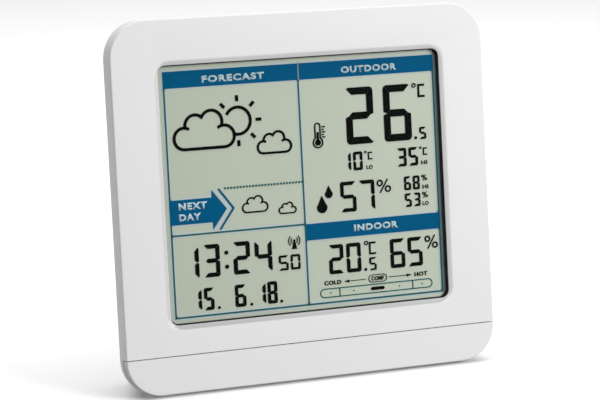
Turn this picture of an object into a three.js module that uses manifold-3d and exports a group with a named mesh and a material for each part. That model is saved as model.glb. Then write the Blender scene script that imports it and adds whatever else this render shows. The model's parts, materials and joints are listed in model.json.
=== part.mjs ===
// A home weather station that stands on a desk or hangs on a wall.
//
// The case frame: x to the right as the display is read, y from the face to the back, z up the face
// from the lower edge of the case. The whole case is then leant back and set down on the table, where
// the rear shell's flat underside and the stand's foot both touch z = 0.
// Lengths are in millimetres and angles in degrees.

import * as THREE from 'three';
import { mergeVertices } from 'three/addons/utils/BufferGeometryUtils.js';
import Module from 'manifold-3d';

const wasm = await Module();
wasm.setup();

// ---------------------------------------------------------------- driving dimensions

// The case
const caseWidth = 138;
const caseHeight = 126;
const upperCorner = 13;
const lowerCorner = 12.6;
const rimDepth = 6.5;
const frontWall = 2;
const faceRounding = 0.6;
const leanAngle = 7.2;

// The rear shell: how far its sides and its top are drawn in. Its depth follows from what it holds.
const rearWall = 2;
const partingGap = 0.3;
const flangeDepth = 1.4;
const flangeInset = 0.8;
const sideDrawnIn = 8.6;
const topDrawnIn = 2.8;
const backRounding = 1.4;
const underWall = 4.4;
const underInset = 0.2;
const footStart = 8.2;
const ribInsetSide = 1.5;
const ribInsetTop = 1.2;
const ribInsetBottom = 0.5;

// The snooze bar under the face
const barHeight = 12.7;
const seamGap = 0.3;
const barWall = 1.6;
const barDepth = 2.6;
const barSideWall = 1.4;
const barTravelGap = 1;
const barHingeHeight = 11;
const barHingeDepth = 4.8;
const barPinRadius = 0.9;
const barPinLength = 2;
const barEarSpacing = 84;
const barEarWidth = 4;
const barEarRadius = 1.6;
const barEarSideGap = 0.25;
const barEarTopGap = 0.4;
const barPinEndGap = 0.4;
const barLugEndWall = 1.2;
const barLugTrim = 0.5;
const barPostWidth = 5;
const barPostHeight = 4;
const barPostGap = 0.6;
const barSwitchHeight = 5.2;
const barSwitchGap = 0.5;
const shelfWall = 1.6;

// The display opening and the stack behind it, front to back
const windowWidth = 104.4;
const windowHeight = 87.4;
const windowBottom = 23;
const windowCorner = 2.8;
const windowBevel = 1.8;
const windowBevelDepth = 0.6;
const windowLand = 0.3;
const paneThickness = 0.7;
const paneOverlap = 1.1;
const gasketThickness = 0.4;
const gasketShow = 0.4;
const panelOverlap = 1.6;
const panelThickness = 2.1;
const guideThickness = 2.6;
const guideInset = 1.6;
const guideEndInset = 3.9;
const ledWidth = 1.2;
const ledHeight = 4;
const stripHeight = 2.4;
const stripInset = 3;
const stripMargin = 0.4;
const holderWall = 1.5;
const stackGap = 0.2;

// The boards
const boardThickness = 1.4;
const boardHalfWidth = 60.6;
const boardBottom = 20;
const boardTop = 110;
const boardTongueWidth = 20;
const boardTongueBottom = 2.6;
const boardScrewInset = 2.3;
const boardScrewLow = 24;
const boardScrewHigh = 106;
const radioBoardWidth = 14;
const radioBoardHeight = 22;

// Screws
const caseScrewX = 49;
const caseScrewUpper = 117.6;
const caseScrewLower = 9.5;
const screwShank = 1.3;
const screwHead = 2.5;
const screwHeadHeight = 1.7;
const screwPilotGap = 0.2;
const screwWellGap = 0.3;
const bossWall = 1.3;
const caseScrewLength = 6;
const caseScrewSeat = 2;
const boardScrewLength = 5;
const boardScrewHead = 2;
const boardScrewShank = 1;

// The keys on the back and the switches under them
const keyNames = ['key_set', 'key_up', 'key_down', 'key_alarm', 'key_channel', 'key_memory'];
const keyPitch = 14;
const keyRowHeight = 103.5;
const keyWidth = 9;
const keyHeight = 5;
const keyProud = 0.7;
const keyTravel = 0.5;
const keyFlange = 1;
const keyFlangeThickness = 0.8;
const keyStemRadius = 1.4;
const keyGap = 0.25;
const keyEndFlat = 0.05;
const switchSize = 6;
const switchHeight = 3.4;
const plungerRadius = 1.7;
const plungerHeight = 0.7;

// Two AAA cells and their compartment
const cellRadius = 5.15;
const cellLength = 43.8;
const cellNubRadius = 1.9;
const cellNubHeight = 0.8;
const cellRowGap = 1.7;
const cellDoorGap = 1.2;
const bayMiddle = 80;
const bayFloorWall = 1.3;
const bayWall = 1.4;
const bayLedge = 2;
const cellGap = 0.3;
const springLength = 4.2;
const springRadius = 3.4;
const springTipRadius = 2.2;
const springTurns = 3;
const springWire = 0.35;
const contactThickness = 0.4;
const contactWidth = 8;
const contactDimpleRadius = 1.5;
const wireRadius = 0.6;

// The battery door
const doorThickness = 1.9;
const doorGap = 0.3;
const doorHookWidth = 6;
const doorHookSpacing = 32;
const doorHookReach = 1.4;
const doorHookThickness = 0.8;
const doorCorner = 2;
const ridgeCount = 3;
const ridgeLength = 12;
const ridgeHeight = 0.8;
const ridgePitch = 1.6;
const ridgeStart = 2.4;
const ridgeDepth = 0.4;

// The stand
const legWidth = 50;
const legLength = 50;
const legThickness = 3;
const legHingeHeight = 50;
const legHingeInset = 2.4;
const legHeel = 5;
const legGap = 0.3;
const legSideGap = 0.8;
const legPinRadius = 1.5;
const legPinLength = 1.6;
const legPinEndGap = 0.2;
const legReliefDepth = 0.8;
const legGripRadius = 8;
const legGripRise = 4;
const legPanelMargin = 6;
const legPanelRise = 18;
const pinRunningGap = 0.15;
const recessWall = 1.7;

// The wall keyhole, the vents and the sound holes
const keyholeRadius = 4;
const keyholeSlotRadius = 2.4;
const keyholeSlotRise = 5;
const keyholeHeight = 112.5;
const ventLength = 12;
const ventHeight = 1.6;
const ventPitch = 3.6;
const ventCount = 5;
const ventX = -46;
const ventMiddle = 36;
const soundX = 45;
const soundHeight = 84;
const soundHoleRadius = 0.9;
const soundRingRadius = 4;
const soundHoleCount = 6;

// Parts on the boards, with the place of each from the middle and the lower edge of the case
const chipSize = 12;
const chipHeight = 1.6;
const chipPlace = { x: -12, z: 34 };
const crystalRadius = 1.5;
const crystalLength = 8;
const crystalPlace = { x: 4, z: 42 };
const capacitorRadius = 2.5;
const capacitorHeight = 7;
const capacitorPlace = { x: 14, z: 32 };
const radioBoardThickness = 1;
const radioBoardX = -48;
const sensorSize = 5;
const sensorHeight = 1.8;
const portRadius = 1;
const portDepth = 0.8;
const buzzerRadius = 6;
const buzzerHeight = 5.5;
const rodLength = 60;
const rodRadius = 3;
const rodHeight = 117.2;
const rodDepth = 12.6;
const coilLength = 16;
const coilThickness = 0.8;
const cradleWidth = 1.5;
const cradleSpacing = 44;
const cradleDrop = 1.5;
const cradleTopGap = 1;

// ---------------------------------------------------------------- shapes and solids

const ARC_STEPS = 5;
const SMALL_ARC_STEPS = 2;
const SMALL_SIDES = 10;
const PIN_SIDES = 20;
const WIRE_SIDES = 6;
const LEAD_STEPS = 12;
const PAST = 1; // how far a cut runs past the face that it opens
const INTO = 0.5; // how far a joined piece runs into the wall that it stands on
// Where the middle facet of a rounded edge starts, as a share of its rounding.
const ROUNDING_SHARE = 0.3;

const radians = THREE.MathUtils.degToRad;

// A closed geometry as a solid that can be joined and cut.
function solid(geometry) {
  const bare = geometry.clone();
  bare.deleteAttribute('normal');
  bare.deleteAttribute('uv');
  const merged = mergeVertices(bare, 1e-4);
  return new wasm.Manifold(new wasm.Mesh({
    numProp: 3,
    vertProperties: new Float32Array(merged.attributes.position.array),
    triVerts: new Uint32Array(merged.index.array),
  }));
}

function geometryOf(body) {
  const { vertProperties, triVerts } = body.getMesh();
  const geometry = new THREE.BufferGeometry();
  geometry.setAttribute('position', new THREE.BufferAttribute(vertProperties, 3));
  geometry.setIndex(new THREE.BufferAttribute(triVerts, 1));
  const flat = geometry.toNonIndexed();
  flat.computeVertexNormals();
  return flat;
}

function joined(...bodies) {
  return bodies.reduce((sum, body) => sum.add(body));
}

function cut(body, ...tools) {
  return tools.reduce((left, tool) => left.subtract(tool), body);
}

// A box given by its limits along x, y and z.
function block([left, right], [front, back], [low, high]) {
  const box = new THREE.BoxGeometry(right - left, back - front, high - low);
  return solid(box.translate((left + right) / 2, (front + back) / 2, (low + high) / 2));
}

function roundedRectangle(left, right, low, high, upperRadius, lowerRadius = upperRadius) {
  const shape = new THREE.Shape();
  shape.absarc(right - lowerRadius, low + lowerRadius, lowerRadius, -Math.PI / 2, 0);
  shape.absarc(right - upperRadius, high - upperRadius, upperRadius, 0, Math.PI / 2);
  shape.absarc(left + upperRadius, high - upperRadius, upperRadius, Math.PI / 2, Math.PI);
  shape.absarc(left + lowerRadius, low + lowerRadius, lowerRadius, Math.PI, 1.5 * Math.PI);
  return shape;
}

// A shape drawn in x and z, made solid from the depth front to the depth back.
function slab(shape, front, back, arcSteps = ARC_STEPS) {
  const options = { depth: back - front, bevelEnabled: false, curveSegments: arcSteps };
  return solid(new THREE.ExtrudeGeometry(shape, options).rotateX(Math.PI / 2).translate(0, back, 0));
}

// A closed skin through shapes with the same number of points, each at its own depth, front first.
function loft(sections) {
  const rings = sections.map(([shape]) => shape.getPoints(ARC_STEPS));
  const count = rings[0].length;
  const positions = rings.flatMap((ring, i) => ring.flatMap((point) => [point.x, sections[i][1], point.y]));
  const index = [];
  for (let ring = 0; ring + 1 < rings.length; ring++) {
    for (let i = 0; i < count; i++) {
      const a = ring * count + i;
      const b = ring * count + (i + 1) % count;
      index.push(a, a + count, b + count, a, b + count, b);
    }
  }
  const last = (rings.length - 1) * count;
  for (const [a, b, c] of THREE.ShapeUtils.triangulateShape(rings[0], [])) {
    index.push(a, b, c);
    index.push(last + a, last + c, last + b);
  }
  const geometry = new THREE.BufferGeometry();
  geometry.setAttribute('position', new THREE.Float32BufferAttribute(positions, 3));
  geometry.setIndex(index);
  return solid(geometry);
}

// A round bar along y, from the depth front to the depth back.
function barAlongY(radius, front, back, x, z, sides = PIN_SIDES) {
  const bar = new THREE.CylinderGeometry(radius, radius, back - front, sides);
  return solid(bar.translate(x, (front + back) / 2, z));
}

// A round bar along x, between two distances from the middle.
function barAlongX(radius, left, right, y, z, sides = PIN_SIDES) {
  const bar = new THREE.CylinderGeometry(radius, radius, right - left, sides).rotateZ(Math.PI / 2);
  return solid(bar.translate((left + right) / 2, y, z));
}

// A solid turned round from a profile of [radius, distance along y] points that starts and ends on the axis.
function turned(profile, sides = PIN_SIDES) {
  const points = profile.map(([radius, y]) => new THREE.Vector2(radius, y));
  return solid(new THREE.LatheGeometry(points, sides));
}

// A round wire that follows a curve.
function wire(curve, radius, steps, sides = WIRE_SIDES) {
  const section = new THREE.Shape();
  section.absarc(0, 0, radius, 0, 2 * Math.PI);
  const options = { steps, extrudePath: curve, curveSegments: sides / 2, bevelEnabled: false };
  return solid(new THREE.ExtrudeGeometry(section, options));
}

const bothSides = (make) => [-1, 1].map(make);

// ---------------------------------------------------------------- places that follow from the sizes

const halfWidth = caseWidth / 2;
const lean = radians(leanAngle);

const paneFront = windowBevelDepth + windowLand + stackGap;
const gasketFront = paneFront + paneThickness + stackGap;
const panelFront = gasketFront + gasketThickness + stackGap;
const guideFront = panelFront + panelThickness + stackGap;
const boardFront = guideFront + guideThickness + 2 * stackGap;
const boardBack = boardFront + boardThickness;
const onBoard = boardBack + stackGap;
const shelfFront = barDepth + barTravelGap;
const shelfBack = shelfFront + shelfWall;

const windowHalf = windowWidth / 2;
const windowTop = windowBottom + windowHeight;

const cellPitch = 2 * cellRadius + cellRowGap;
const bayFloor = boardBack + 2 * stackGap + partingGap + bayFloorWall;
const cellMiddle = bayFloor + cellGap + cellRadius;
const bayHalfHeight = cellPitch / 2 + cellRadius + cellGap;
const bayHalfLength = (cellLength + cellNubHeight + springLength + 3 * contactThickness) / 2 + 2 * cellGap;
const doorHalfLength = bayHalfLength + bayLedge - doorGap;
const doorHalfHeight = bayHalfHeight + bayLedge - doorGap;
const doorFront = cellMiddle + cellRadius + cellDoorGap;

const caseDepth = doorFront + doorThickness;
const rearFront = rimDepth + partingGap;
const rearInner = caseDepth - rearWall;

const legHingeDepth = caseDepth - legHingeInset;
const recessHalf = legWidth / 2 + legSideGap;
const recessFloor = legHingeDepth - legThickness / 2 - legGap;

// The table plane, seen in the case frame: it rises towards the back from its line at footStart.
const lift = footStart * Math.sin(lean);
const legHingeAbove = legHingeHeight * Math.cos(lean) - legHingeDepth * Math.sin(lean) + lift;
const legSpread = lean + Math.acos(legHingeAbove / legLength);
const heelFloor = legHingeDepth - legThickness / 2 * Math.cos(legSpread)
  - legHeel * Math.sin(legSpread) - legGap;

const caseScrews = [-1, 1].flatMap((side) => [
  { x: side * caseScrewX, z: caseScrewUpper },
  { x: side * caseScrewX, z: caseScrewLower },
]);
const boardScrewX = boardHalfWidth - boardScrewInset;
const boardScrews = [-1, 1].flatMap((side) => [
  { x: side * boardScrewX, z: boardScrewLow },
  { x: side * boardScrewX, z: boardScrewHigh },
]);
const bossRadius = screwShank + screwPilotGap + bossWall;
const caseScrewHeadFront = onBoard + screwPilotGap + caseScrewSeat;
const keyXs = keyNames.map((name, i) => (i - (keyNames.length - 1) / 2) * keyPitch);

// ---------------------------------------------------------------- outlines of the case

// The case seen from the front, drawn in by an inset at each side and at the top and bottom.
function caseOutline(side, top = side, bottom = side) {
  return roundedRectangle(
    side - halfWidth,
    halfWidth - side,
    bottom,
    caseHeight - top,
    upperCorner - Math.min(side, top),
    lowerCorner - Math.min(side, bottom),
  );
}

// The display opening, made larger all round by a margin.
function windowOutline(margin, corner = windowCorner) {
  return roundedRectangle(-windowHalf - margin, windowHalf + margin, windowBottom - margin,
    windowTop + margin, corner);
}

// Everything below a height, for cutting the case into face and bar.
const below = (height) => block([-caseWidth, caseWidth], [-caseDepth, 2 * caseDepth], [-caseHeight, height]);

// What lies under the table plane.
function underTable() {
  const slabUnder = new THREE.BoxGeometry(2 * caseWidth, 6 * caseDepth, caseHeight);
  slabUnder.translate(0, 0, -caseHeight / 2).rotateX(lean).translate(0, footStart, 0);
  return solid(slabUnder);
}

// ---------------------------------------------------------------- front: shell, bar and display

function frontShell() {
  const body = loft([
    [caseOutline(faceRounding), 0],
    [caseOutline(faceRounding * ROUNDING_SHARE), faceRounding * ROUNDING_SHARE],
    [caseOutline(0), faceRounding],
    [caseOutline(0), rimDepth],
  ]);
  const faceBottom = barHeight + seamGap;
  const inside = slab(caseOutline(frontWall), frontWall, rimDepth + PAST);
  const insideFace = cut(inside, below(faceBottom + shelfWall));
  const insideShelf = cut(slab(caseOutline(frontWall), shelfBack, rimDepth + PAST),
    block([-caseWidth, caseWidth], [0, caseDepth], [faceBottom + shelfWall - PAST, caseHeight]));
  const barPocket = block([-caseWidth, caseWidth], [-PAST, shelfFront], [-PAST, faceBottom]);
  const bevelCut = loft([
    [windowOutline(windowBevel * (1 + PAST / windowBevelDepth), windowCorner + 2 * windowBevel), -PAST],
    [windowOutline(0), windowBevelDepth],
    [windowOutline(0), frontWall + PAST],
  ]);
  const rebate = slab(windowOutline(paneOverlap + stackGap), windowBevelDepth + windowLand, frontWall + PAST);
  const bosses = [
    ...caseScrews.map(({ x, z }) => {
      const start = z > windowBottom ? frontWall - INTO : shelfFront + stackGap;
      return barAlongY(bossRadius, start, caseScrewHeadFront - caseScrewSeat - partingGap, x, z);
    }),
    ...boardScrews.map(({ x, z }) => barAlongY(boardScrewInset, frontWall / 2, boardFront - stackGap, x, z)),
  ];
  const tip = caseScrewHeadFront - caseScrewLength;
  const pilots = [
    ...caseScrews.map(({ x, z }) => barAlongY(screwShank + screwPilotGap,
      tip - screwPilotGap, caseDepth, x, z, SMALL_SIDES)),
    ...boardScrews.map(({ x, z }) => barAlongY(boardScrewShank + screwPilotGap,
      boardBack - boardScrewLength, caseDepth, x, z, SMALL_SIDES)),
  ];
  const earHoles = bothSides((side) => barEarRoom(side, barTravelGap));
  const lugs = bothSides(barLug);
  const holeHalf = switchSize / 2 + barSwitchGap;
  const switchHole = block([-holeHalf, holeHalf], [shelfFront - PAST, shelfBack + PAST],
    [barSwitchHeight - holeHalf, barSwitchHeight + holeHalf]);
  const hollow = cut(body, insideFace, insideShelf, barPocket, bevelCut, rebate);
  return cut(joined(hollow, ...bosses, ...lugs), ...pilots, ...earHoles, switchHole);
}

const barEarCentre = (side) => side * barEarSpacing / 2;

// The space that one of the bar's hinge ears and its pin move in.
function barEarRoom(side, room) {
  const centre = barEarCentre(side);
  const half = barEarWidth / 2 + barEarSideGap;
  const slot = block([centre - half, centre + half], [shelfFront - PAST, rimDepth + PAST],
    [barHingeHeight - barEarRadius - room, barHingeHeight + barEarRadius + barEarTopGap]);
  const inner = centre - side * half;
  const outer = centre + side * (barEarWidth / 2 + barPinLength + barPinEndGap);
  const hole = barAlongX(barPinRadius + pinRunningGap, Math.min(inner, outer), Math.max(inner, outer),
    barHingeDepth, barHingeHeight);
  return slot.add(hole);
}

// The lug on the shelf that carries one of the bar's pins.
function barLug(side) {
  const start = barEarCentre(side) + side * (barEarWidth / 2 + barEarSideGap);
  const end = start + side * (barPinLength + barLugEndWall);
  const reach = barPinRadius + pinRunningGap + bossWall;
  return block([Math.min(start, end), Math.max(start, end)], [shelfFront, barHingeDepth + reach - barLugTrim],
    [barHingeHeight - reach, barHingeHeight + reach]);
}

function snoozeBar() {
  const body = cut(
    loft([
      [caseOutline(faceRounding), 0],
      [caseOutline(faceRounding * ROUNDING_SHARE), faceRounding * ROUNDING_SHARE],
      [caseOutline(0), faceRounding],
      [caseOutline(0), barDepth],
    ]),
    block([-caseWidth, caseWidth], [-PAST, caseDepth], [barHeight, 2 * caseHeight]),
  );
  const hollow = cut(slab(caseOutline(barSideWall), barWall, barDepth + PAST),
    block([-caseWidth, caseWidth], [0, caseDepth], [barHeight - barSideWall, 2 * caseHeight]));
  const post = block([-barPostWidth / 2, barPostWidth / 2], [barWall - INTO, barPostEnd],
    [barSwitchHeight - barPostHeight / 2, barSwitchHeight + barPostHeight / 2]);
  const ears = bothSides((side) => {
    const centre = barEarCentre(side);
    const limits = [centre - barEarWidth / 2, centre + barEarWidth / 2];
    const arm = block(limits, [barWall - INTO, barHingeDepth],
      [barHingeHeight - barEarRadius, barHingeHeight + barEarRadius]);
    const eye = barAlongX(barEarRadius, ...limits, barHingeDepth, barHingeHeight);
    const pinEnd = centre + side * (barEarWidth / 2 + barPinLength);
    const pin = barAlongX(barPinRadius, Math.min(centre, pinEnd), Math.max(centre, pinEnd),
      barHingeDepth, barHingeHeight);
    return joined(arm, eye, pin);
  });
  return joined(cut(body, hollow), post, ...ears);
}

const barSwitchFront = boardFront - stackGap - switchHeight;
const barPostEnd = barSwitchFront - plungerHeight - barPostGap;

function displayWindow() {
  return slab(windowOutline(paneOverlap), paneFront, paneFront + paneThickness);
}

function displayGasket() {
  return cut(
    slab(windowOutline(paneOverlap), gasketFront, gasketFront + gasketThickness),
    slab(windowOutline(-gasketShow), gasketFront - PAST, gasketFront + gasketThickness + PAST),
  );
}

const panelHalf = windowHalf + panelOverlap;
const panelLow = windowBottom - panelOverlap;
const panelHigh = windowTop + panelOverlap;

function lcdPanel(margin = 0) {
  return block([-panelHalf - margin, panelHalf + margin],
    [panelFront - margin, panelFront + panelThickness + margin], [panelLow - margin, panelHigh + margin]);
}

const stripEnds = [-panelHalf + stripInset, panelHalf - stripInset];
const guideLow = panelLow + stripHeight + guideInset;
const guideHigh = panelHigh - stripHeight - guideInset;
const guideHalf = panelHalf - guideEndInset;

function contactStrip(low, margin = 0) {
  return block([stripEnds[0] - margin, stripEnds[1] + margin],
    [guideFront - margin, boardFront - stackGap + margin], [low - margin, low + stripHeight + margin]);
}

const lowerStripLow = panelLow + stripMargin;
const upperStripLow = panelHigh - stripMargin - stripHeight;

function backlightGuide(margin = 0) {
  return block([-guideHalf - margin, guideHalf + margin],
    [guideFront - margin, guideFront + guideThickness + margin], [guideLow - margin, guideHigh + margin]);
}

function backlightLed(side) {
  const inner = side * (guideHalf + stackGap);
  const outer = inner + side * ledWidth;
  const middle = (guideLow + guideHigh) / 2;
  return block([Math.min(inner, outer), Math.max(inner, outer)], [guideFront, boardFront - stackGap],
    [middle - ledHeight / 2, middle + ledHeight / 2]);
}

function lcdHolder() {
  const half = panelHalf + stackGap + holderWall;
  const body = block([-half, half], [panelFront, boardFront - stackGap],
    [panelLow - stackGap - holderWall, panelHigh + stackGap + holderWall]);
  const ledRoom = block([-guideHalf - ledWidth - 2 * stackGap, guideHalf + ledWidth + 2 * stackGap],
    [guideFront - stackGap, caseDepth], [guideLow - stackGap, guideHigh + stackGap]);
  return cut(body, lcdPanel(stackGap), ledRoom,
    contactStrip(lowerStripLow, stackGap), contactStrip(upperStripLow, stackGap));
}

// ---------------------------------------------------------------- boards and what is on them

function mainBoard() {
  const shape = new THREE.Shape();
  shape.moveTo(-boardHalfWidth, boardTop);
  shape.lineTo(-boardHalfWidth, boardBottom);
  shape.lineTo(-boardTongueWidth / 2, boardBottom);
  shape.lineTo(-boardTongueWidth / 2, boardTongueBottom);
  shape.lineTo(boardTongueWidth / 2, boardTongueBottom);
  shape.lineTo(boardTongueWidth / 2, boardBottom);
  shape.lineTo(boardHalfWidth, boardBottom);
  shape.lineTo(boardHalfWidth, boardTop);
  const holes = boardScrews.map(({ x, z }) => barAlongY(boardScrewShank + screwPilotGap,
    boardFront - PAST, boardBack + PAST, x, z, SMALL_SIDES));
  return cut(slab(shape, boardFront, boardBack), ...holes);
}

// A tact switch with its back at y = 0 and its plunger pointing along +y.
function tactSwitch() {
  return joined(
    block([-switchSize / 2, switchSize / 2], [0, switchHeight], [-switchSize / 2, switchSize / 2]),
    barAlongY(plungerRadius, switchHeight / 2, switchHeight + plungerHeight, 0, 0, SMALL_SIDES),
  );
}

// A pan-head screw along y with its head's underside at y = 0 and its shank pointing to -y.
function screw(shank, length, head, headHeight) {
  const body = turned([
    [0, -length],
    [shank * 0.5, -length],
    [shank, -length + shank],
    [shank, 0],
    [head, 0],
    [head, headHeight * 0.5],
    [head * 0.75, headHeight],
    [0, headHeight],
  ], SMALL_SIDES);
  const slotHalf = head * 0.12;
  const slotLong = head * 0.55;
  const depths = [headHeight * 0.45, headHeight + PAST];
  return cut(body,
    block([-slotLong, slotLong], depths, [-slotHalf, slotHalf]),
    block([-slotHalf, slotHalf], depths, [-slotLong, slotLong]));
}

function controllerChip() {
  return block([-chipSize / 2, chipSize / 2], [0, chipHeight], [-chipSize / 2, chipSize / 2]);
}

function quartzCrystal() {
  const half = crystalLength / 2;
  return barAlongX(crystalRadius, -half, half, crystalRadius + stackGap, 0, SMALL_SIDES);
}

function capacitor() {
  return barAlongY(capacitorRadius, 0, capacitorHeight, 0, 0, PIN_SIDES);
}

function radioBoard() {
  return block([-radioBoardWidth / 2, radioBoardWidth / 2], [0, radioBoardThickness],
    [-radioBoardHeight / 2, radioBoardHeight / 2]);
}

function buzzer() {
  return cut(barAlongY(buzzerRadius, 0, buzzerHeight, 0, 0),
    barAlongY(portRadius, buzzerHeight - portDepth, buzzerHeight + PAST, 0, 0, SMALL_SIDES));
}

function climateSensor() {
  return cut(block([-sensorSize / 2, sensorSize / 2], [0, sensorHeight], [-sensorSize / 2, sensorSize / 2]),
    barAlongY(portRadius, sensorHeight - portDepth, sensorHeight + PAST, 0, 0, SMALL_SIDES));
}

function ferriteRod() {
  return barAlongX(rodRadius, -rodLength / 2, rodLength / 2, 0, 0);
}

function antennaCoil() {
  const half = coilLength / 2;
  return cut(barAlongX(rodRadius + stackGap + coilThickness, -half, half, 0, 0),
    barAlongX(rodRadius + stackGap, -half - PAST, half + PAST, 0, 0));
}

// ---------------------------------------------------------------- cells and contacts

// A cell along x, its middle at the origin and its raised positive end towards +x.
function cell() {
  const half = cellLength / 2;
  const bevel = 0.4;
  return turned([
    [0, -half],
    [cellRadius - bevel, -half],
    [cellRadius, -half + bevel],
    [cellRadius, half - bevel],
    [cellRadius - bevel, half],
    [cellNubRadius, half],
    [cellNubRadius, half + cellNubHeight],
    [0, half + cellNubHeight],
  ]).rotate([0, 0, -90]);
}

// A coil spring that narrows from the plate at x = 0 towards +x, where the cell's flat end meets it.
class SpringLine extends THREE.Curve {
  getPoint(t, target = new THREE.Vector3()) {
    const angle = 2 * Math.PI * springTurns * t;
    const radius = springRadius + (springTipRadius - springRadius) * t;
    const along = springWire * 0.6 + (springLength - 2 * springWire) * t;
    return target.set(along, radius * Math.cos(angle), radius * Math.sin(angle));
  }
}

const contactSpring = () => wire(new SpringLine(), springWire, springTurns * SMALL_SIDES);

function contactPlate(low, high) {
  return block([-contactThickness, 0], [-contactWidth / 2, contactWidth / 2], [low, high]);
}

function contactDimple() {
  return barAlongX(contactDimpleRadius, -contactThickness / 2, contactThickness, 0, 0, SMALL_SIDES);
}

// Joins the two cells at the left end: spring to the lower cell, dimple to the upper.
function contactBridge() {
  const reach = cellPitch / 2 + contactWidth / 2;
  return joined(contactPlate(-reach, reach),
    contactSpring().translate([0, 0, -cellPitch / 2]),
    contactDimple().translate([0, 0, cellPitch / 2]));
}

function contactNegative() {
  return joined(contactPlate(-contactWidth / 2, contactWidth / 2), contactSpring());
}

function contactPositive() {
  return joined(contactPlate(-contactWidth / 2, contactWidth / 2), contactDimple());
}

const leadStart = bayHalfLength + bayWall + partingGap;
const leadCurve = (height, end) => new THREE.CatmullRomCurve3([
  new THREE.Vector3(bayHalfLength + partingGap, cellMiddle, height),
  new THREE.Vector3(leadStart + 1.5, cellMiddle, height),
  new THREE.Vector3(leadStart + 4, cellMiddle - 1, height - 1),
  new THREE.Vector3(leadStart + 6, (cellMiddle + onBoard) / 2, end + 1),
  new THREE.Vector3(leadStart + 6.5, onBoard + 0.3, end),
]);

const batteryLead = (height, end) => wire(leadCurve(height, end), wireRadius, LEAD_STEPS);

// ---------------------------------------------------------------- rear shell, door, keys and stand

// The keyhole: a round hole for the head of a wall screw and a slot above it for the shank.
function keyhole() {
  const top = keyholeHeight + keyholeSlotRise;
  const through = [rearInner - PAST, caseDepth + PAST];
  return joined(
    barAlongY(keyholeRadius, ...through, 0, keyholeHeight),
    block([-keyholeSlotRadius, keyholeSlotRadius], through, [keyholeHeight, top]),
    barAlongY(keyholeSlotRadius, ...through, 0, top),
  );
}

function rearShellSkin() {
  const slopeStart = rearFront + flangeDepth;
  const facet = backRounding * ROUNDING_SHARE;
  const outer = loft([
    [caseOutline(flangeInset), rearFront],
    [caseOutline(flangeInset, flangeInset, underInset), slopeStart],
    [caseOutline(sideDrawnIn, topDrawnIn, underInset), caseDepth - backRounding],
    [caseOutline(sideDrawnIn + facet, topDrawnIn + facet, underInset), caseDepth - facet],
    [caseOutline(sideDrawnIn + backRounding, topDrawnIn + backRounding, underInset), caseDepth],
  ]);
  const inner = loft([
    [caseOutline(flangeInset + rearWall, flangeInset + rearWall, rearWall), rearFront - PAST],
    [caseOutline(flangeInset + rearWall, flangeInset + rearWall, rearWall), slopeStart],
    [caseOutline(sideDrawnIn + rearWall, topDrawnIn + rearWall, underWall), rearInner],
  ]);
  return cut(outer, inner);
}

function batteryBay() {
  const x = bayHalfLength + bayLedge + bayWall;
  const z = bayHalfHeight + bayLedge + bayWall;
  const innerX = bayHalfLength + bayWall;
  const innerZ = bayHalfHeight + bayWall;
  return joined(
    block([-x, x], [doorFront - bayLedge, rearInner + INTO], [bayMiddle - z, bayMiddle + z]),
    block([-innerX, innerX], [bayFloor - bayFloorWall, rearInner], [bayMiddle - innerZ, bayMiddle + innerZ]),
  );
}

function batteryBayRoom() {
  const inner = block([-bayHalfLength, bayHalfLength], [bayFloor, caseDepth + PAST],
    [bayMiddle - bayHalfHeight, bayMiddle + bayHalfHeight]);
  const door = slab(doorOutline(doorGap), doorFront - doorGap, caseDepth + PAST);
  const hooks = bothSides((side) => {
    const centre = side * doorHookSpacing / 2;
    const half = doorHookWidth / 2 + 2 * doorGap;
    const top = bayMiddle + doorHalfHeight;
    return block([centre - half, centre + half],
      [doorFront - 2 * doorHookReach - doorHookThickness, doorFront + doorGap / 2],
      [top - bayLedge - PAST, top + doorHookReach + 2 * doorGap]);
  });
  const leads = [-1, 1].map((side) => barAlongX(wireRadius + partingGap, bayHalfLength - PAST,
    bayHalfLength + 2 * bayWall, cellMiddle, bayMiddle + side * cellPitch / 2, SMALL_SIDES));
  return joined(inner, door, ...hooks, ...leads);
}

function doorOutline(margin) {
  return roundedRectangle(-doorHalfLength - margin, doorHalfLength + margin,
    bayMiddle - doorHalfHeight - margin, bayMiddle + doorHalfHeight + margin, doorCorner + margin);
}

// The door closed, in the case frame, with two hooks that reach behind the wall above it.
function batteryDoor() {
  const panel = slab(doorOutline(0), doorFront, caseDepth);
  const top = bayMiddle + doorHalfHeight;
  const hooks = bothSides((side) => {
    const centre = side * doorHookSpacing / 2;
    const limits = [centre - doorHookWidth / 2, centre + doorHookWidth / 2];
    const foot = block(limits, [doorFront - doorHookThickness - doorGap, doorFront + INTO],
      [top - doorHookReach, top]);
    const toe = block(limits, [doorFront - doorHookThickness - doorGap, doorFront - doorGap],
      [top - doorHookReach, top + doorHookReach]);
    return foot.add(toe);
  });
  const gripRidges = Array.from({ length: ridgeCount }, (_, i) => {
    const low = bayMiddle - doorHalfHeight + ridgeStart + ridgePitch * i;
    return block([-ridgeLength / 2, ridgeLength / 2], [caseDepth - ridgeDepth, caseDepth + PAST],
      [low, low + ridgeHeight]);
  });
  return cut(joined(panel, ...hooks), ...gripRidges);
}

function standRecessWalls() {
  const x = recessHalf + legPinLength + recessWall;
  const top = legHingeHeight + legHeel + 2 * legGap;
  return joined(
    block([-x, x], [recessFloor - recessWall, rearInner + INTO], [rearWall, top + recessWall]),
    block([-x, x], [heelFloor - recessWall, rearInner + INTO],
      [legHingeHeight - legHeel - recessWall, top + recessWall]),
  );
}

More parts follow.
